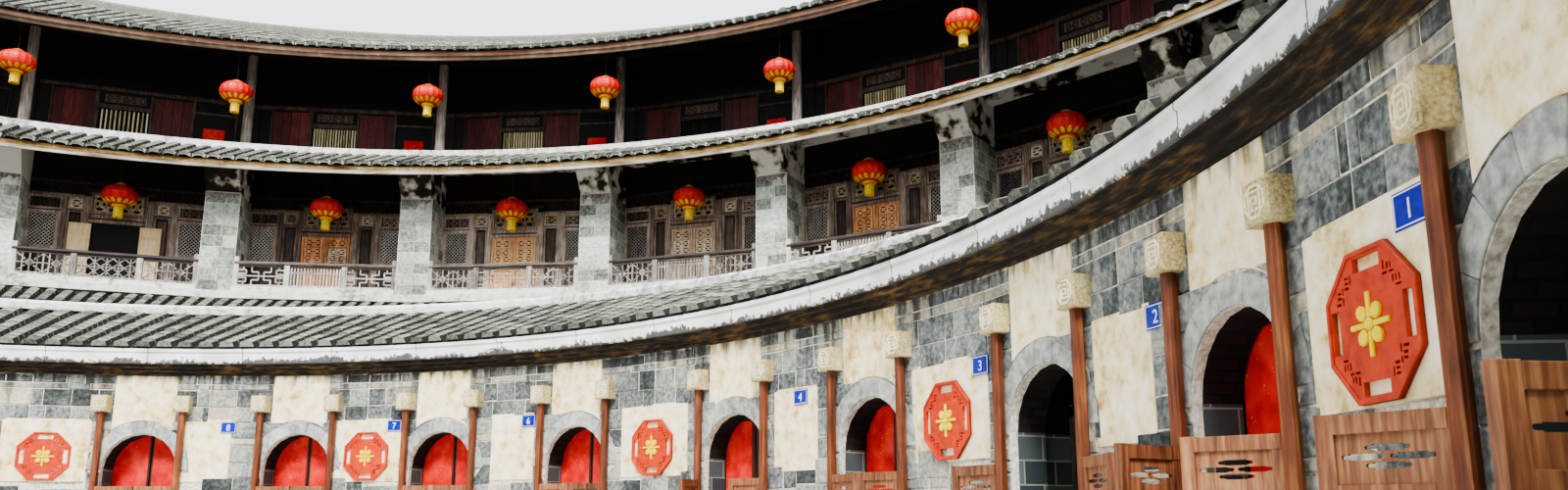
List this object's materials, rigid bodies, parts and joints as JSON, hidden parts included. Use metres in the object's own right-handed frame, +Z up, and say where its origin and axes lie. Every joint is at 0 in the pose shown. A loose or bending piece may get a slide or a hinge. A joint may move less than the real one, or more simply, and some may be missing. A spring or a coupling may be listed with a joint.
{
  "type": "tulou roundhouse, 1:2 scale model",
  "caption": "Round courtyard building: stone inner ring with arched doors and half gates, timber galleries on brick piers, rammed earth outer wall, tiled roofs, 1:2 scale model.",
  "frame": {"origin": "centre of the round courtyard, on the ground", "axes": "+Z up; -Y towards the main gate; the courtyard doors that open lie on the +X side"},
  "size_m": [23.4, 23.4, 6.24],
  "materials": {
    "blue_grey_stone": "rough coursed blocks, pale mortar",
    "granite": "dressed, weathered",
    "brick": "fair-faced, pale joints",
    "plaster": "lime plaster, stained",
    "roof_tile": "fired clay, mossy",
    "rammed_earth": "matt, weathered",
    "dark_timber": "bare, weathered",
    "maroon_timber": "old paint, matt",
    "eave_timber": "bare, weathered",
    "gate_timber": "oiled, worn",
    "red_door": "dark planks under red paper"
  },
  "bodies": {
    "building": {"court_wall_gate_side": "blue_grey_stone", "court_wall_right": "blue_grey_stone", "court_wall_left": "blue_grey_stone", "threshold_course": "granite", "inner_back_wall": "brick", "inner_eave": "plaster", "inner_roof": "roof_tile", "inner_ridge": "plaster", "outer_plinth": "granite", "outer_wall_gate_side": "rammed_earth", "outer_wall_right": "rammed_earth", "outer_wall_left": "rammed_earth", "lower_front_wall": "brick", "second_floor": "dark_timber", "gallery_floor": "plaster", "top_floor": "dark_timber", "gallery_piers": "brick", "gallery_screen": "dark_timber", "gallery_railing": "dark_timber", "top_posts": "dark_timber", "top_screen": "maroon_timber", "base_pent_roof": "roof_tile", "gallery_pent_roof": "roof_tile", "gallery_eave_board": "eave_timber", "top_eave_board": "eave_timber", "outer_roof_court_slope": "roof_tile", "outer_roof_outer_slope": "roof_tile", "outer_ridge": "roof_tile"},
    "half_gate_0_left_body": {"half_gate_0_left": "gate_timber"},
    "plank_door_0_left_body": {"plank_door_0_left": "red_door"},
    "half_gate_0_right_body": {"half_gate_0_right": "gate_timber"},
    "plank_door_0_right_body": {"plank_door_0_right": "red_door"},
    "half_gate_1_left_body": {"half_gate_1_left": "gate_timber"},
    "plank_door_1_left_body": {"plank_door_1_left": "red_door"},
    "half_gate_1_right_body": {"half_gate_1_right": "gate_timber"},
    "plank_door_1_right_body": {"plank_door_1_right": "red_door"},
    "half_gate_2_left_body": {"half_gate_2_left": "gate_timber"},
    "plank_door_2_left_body": {"plank_door_2_left": "red_door"},
    "half_gate_2_right_body": {"half_gate_2_right": "gate_timber"},
    "plank_door_2_right_body": {"plank_door_2_right": "red_door"},
    "half_gate_3_left_body": {"half_gate_3_left": "gate_timber"},
    "plank_door_3_left_body": {"plank_door_3_left": "red_door"},
    "half_gate_3_right_body": {"half_gate_3_right": "gate_timber"},
    "plank_door_3_right_body": {"plank_door_3_right": "red_door"},
    "half_gate_4_left_body": {"half_gate_4_left": "gate_timber"},
    "plank_door_4_left_body": {"plank_door_4_left": "red_door"},
    "half_gate_4_right_body": {"half_gate_4_right": "gate_timber"},
    "plank_door_4_right_body": {"plank_door_4_right": "red_door"},
    "half_gate_5_left_body": {"half_gate_5_left": "gate_timber"},
    "plank_door_5_left_body": {"plank_door_5_left": "red_door"},
    "half_gate_5_right_body": {"half_gate_5_right": "gate_timber"},
    "plank_door_5_right_body": {"plank_door_5_right": "red_door"},
    "half_gate_6_left_body": {"half_gate_6_left": "gate_timber"},
    "half_gate_6_right_body": {"half_gate_6_right": "gate_timber"},
    "half_gate_7_left_body": {"half_gate_7_left": "gate_timber"},
    "plank_door_7_left_body": {"plank_door_7_left": "red_door"},
    "half_gate_7_right_body": {"half_gate_7_right": "gate_timber"},
    "plank_door_7_right_body": {"plank_door_7_right": "red_door"},
    "half_gate_8_left_body": {"half_gate_8_left": "gate_timber"},
    "half_gate_8_right_body": {"half_gate_8_right": "gate_timber"}
  },
  "joints": [
    {"name": "half_gate_0_left_hinge", "type": "hinge", "parent": "building", "child": "half_gate_0_left_body", "pos_m": [3.62283, 3.03153, 0.3], "axis": [0, 0, -1], "range_deg": [0, 170]},
    {"name": "plank_door_0_left_hinge", "type": "hinge", "parent": "building", "child": "plank_door_0_left_body", "pos_m": [3.77539, 3.14687, 0.3], "axis": [0, 0, 1], "range_deg": [0, 90]},
    {"name": "half_gate_0_right_hinge", "type": "hinge", "parent": "building", "child": "half_gate_0_right_body", "pos_m": [3.91793, 2.6391, 0.3], "axis": [0, 0, 1], "range_deg": [0, 170]},
    {"name": "plank_door_0_right_hinge", "type": "hinge", "parent": "building", "child": "plank_door_0_right_body", "pos_m": [4.07109, 2.75365, 0.3], "axis": [0, 0, -1], "range_deg": [0, 90]},
    {"name": "half_gate_1_left_hinge", "type": "hinge", "parent": "building", "child": "half_gate_1_left_body", "pos_m": [4.17445, 2.21112, 0.3], "axis": [0, 0, -1], "range_deg": [0, 170]},
    {"name": "plank_door_1_left_hinge", "type": "hinge", "parent": "building", "child": "plank_door_1_left_body", "pos_m": [4.34767, 2.29219, 0.3], "axis": [0, 0, 1], "range_deg": [0, 90]},
    {"name": "half_gate_1_right_hinge", "type": "hinge", "parent": "building", "child": "half_gate_1_right_body", "pos_m": [4.38141, 1.76587, 0.3], "axis": [0, 0, 1], "range_deg": [0, 170]},
    {"name": "plank_door_1_right_hinge", "type": "hinge", "parent": "building", "child": "plank_door_1_right_body", "pos_m": [4.55505, 1.84603, 0.3], "axis": [0, 0, -1], "range_deg": [0, 90]},
    {"name": "half_gate_2_left_hinge", "type": "hinge", "parent": "building", "child": "half_gate_2_left_body", "pos_m": [4.54595, 1.2843, 0.3], "axis": [0, 0, -1], "range_deg": [0, 170]},
    {"name": "plank_door_2_left_hinge", "type": "hinge", "parent": "building", "child": "plank_door_2_left_body", "pos_m": [4.73234, 1.32715, 0.3], "axis": [0, 0, 1], "range_deg": [0, 90]},
    {"name": "half_gate_2_right_hinge", "type": "hinge", "parent": "building", "child": "half_gate_2_right_body", "pos_m": [4.6547, 0.8055, 0.3], "axis": [0, 0, 1], "range_deg": [0, 170]},
    {"name": "plank_door_2_right_hinge", "type": "hinge", "parent": "building", "child": "plank_door_2_right_body", "pos_m": [4.84131, 0.84737, 0.3], "axis": [0, 0, -1], "range_deg": [0, 90]},
    {"name": "half_gate_3_left_hinge", "type": "hinge", "parent": "building", "child": "half_gate_3_left_body", "pos_m": [4.7137, 0.31003, 0.3], "axis": [0, 0, -1], "range_deg": [0, 170]},
    {"name": "plank_door_3_left_hinge", "type": "hinge", "parent": "building", "child": "plank_door_3_left_body", "pos_m": [4.90492, 0.31315, 0.3], "axis": [0, 0, 1], "range_deg": [0, 90]},
    {"name": "half_gate_3_right_hinge", "type": "hinge", "parent": "building", "child": "half_gate_3_right_body", "pos_m": [4.72042, -0.18092, 0.3], "axis": [0, 0, 1], "range_deg": [0, 170]},
    {"name": "plank_door_3_right_hinge", "type": "hinge", "parent": "building", "child": "plank_door_3_right_body", "pos_m": [4.91166, -0.17881, 0.3], "axis": [0, 0, -1], "range_deg": [0, 90]},
    {"name": "half_gate_4_left_hinge", "type": "hinge", "parent": "building", "child": "half_gate_4_left_body", "pos_m": [4.64048, -0.88378, 0.3], "axis": [0, 0, -1], "range_deg": [-60, 110]},
    {"name": "plank_door_4_left_hinge", "type": "hinge", "parent": "building", "child": "plank_door_4_left_body", "pos_m": [4.82635, -0.92879, 0.3], "axis": [0, 0, 1], "range_deg": [0, 90]},
    {"name": "half_gate_4_right_hinge", "type": "hinge", "parent": "building", "child": "half_gate_4_right_body", "pos_m": [4.52367, -1.36068, 0.3], "axis": [0, 0, 1], "range_deg": [0, 170]},
    {"name": "plank_door_4_right_hinge", "type": "hinge", "parent": "building", "child": "plank_door_4_right_body", "pos_m": [4.70931, -1.40666, 0.3], "axis": [0, 0, -1], "range_deg": [0, 90]},
    {"name": "half_gate_5_left_hinge", "type": "hinge", "parent": "building", "child": "half_gate_5_left_body", "pos_m": [4.35491, -1.83024, 0.3], "axis": [0, 0, -1], "range_deg": [-8, 162]},
    {"name": "plank_door_5_left_hinge", "type": "hinge", "parent": "building", "child": "plank_door_5_left_body", "pos_m": [4.52736, -1.91296, 0.3], "axis": [0, 0, 1], "range_deg": [0, 90]},
    {"name": "half_gate_5_right_hinge", "type": "hinge", "parent": "building", "child": "half_gate_5_right_body", "pos_m": [4.14141, -2.2724, 0.3], "axis": [0, 0, 1], "range_deg": [-8, 162]},
    {"name": "plank_door_5_right_hinge", "type": "hinge", "parent": "building", "child": "plank_door_5_right_body", "pos_m": [4.31342, -2.35601, 0.3], "axis": [0, 0, -1], "range_deg": [0, 90]},
    {"name": "half_gate_6_left_hinge", "type": "hinge", "parent": "building", "child": "half_gate_6_left_body", "pos_m": [3.79155, -2.81767, 0.3], "axis": [0, 0, -1], "range_deg": [-165, 5]},
    {"name": "half_gate_6_right_hinge", "type": "hinge", "parent": "building", "child": "half_gate_6_right_body", "pos_m": [3.47859, -3.19601, 0.3], "axis": [0, 0, 1], "range_deg": [-165, 5]},
    {"name": "half_gate_7_left_hinge", "type": "hinge", "parent": "building", "child": "half_gate_7_left_body", "pos_m": [3.11834, -3.54838, 0.3], "axis": [0, 0, -1], "range_deg": [-65, 105]},
    {"name": "plank_door_7_left_hinge", "type": "hinge", "parent": "building", "child": "plank_door_7_left_body", "pos_m": [3.23734, -3.6981, 0.3], "axis": [0, 0, 1], "range_deg": [0, 90]},
    {"name": "half_gate_7_right_hinge", "type": "hinge", "parent": "building", "child": "half_gate_7_right_body", "pos_m": [2.73318, -3.8529, 0.3], "axis": [0, 0, 1], "range_deg": [-40, 130]},
    {"name": "plank_door_7_right_hinge", "type": "hinge", "parent": "building", "child": "plank_door_7_right_body", "pos_m": [2.85139, -4.00324, 0.3], "axis": [0, 0, -1], "range_deg": [0, 90]},
    {"name": "half_gate_8_left_hinge", "type": "hinge", "parent": "building", "child": "half_gate_8_left_body", "pos_m": [2.25057, -4.15332, 0.3], "axis": [0, 0, -1], "range_deg": [-140, 30]},
    {"name": "half_gate_8_right_hinge", "type": "hinge", "parent": "building", "child": "half_gate_8_right_body", "pos_m": [1.8073, -4.36449, 0.3], "axis": [0, 0, 1], "range_deg": [-100, 70]}
  ]
}
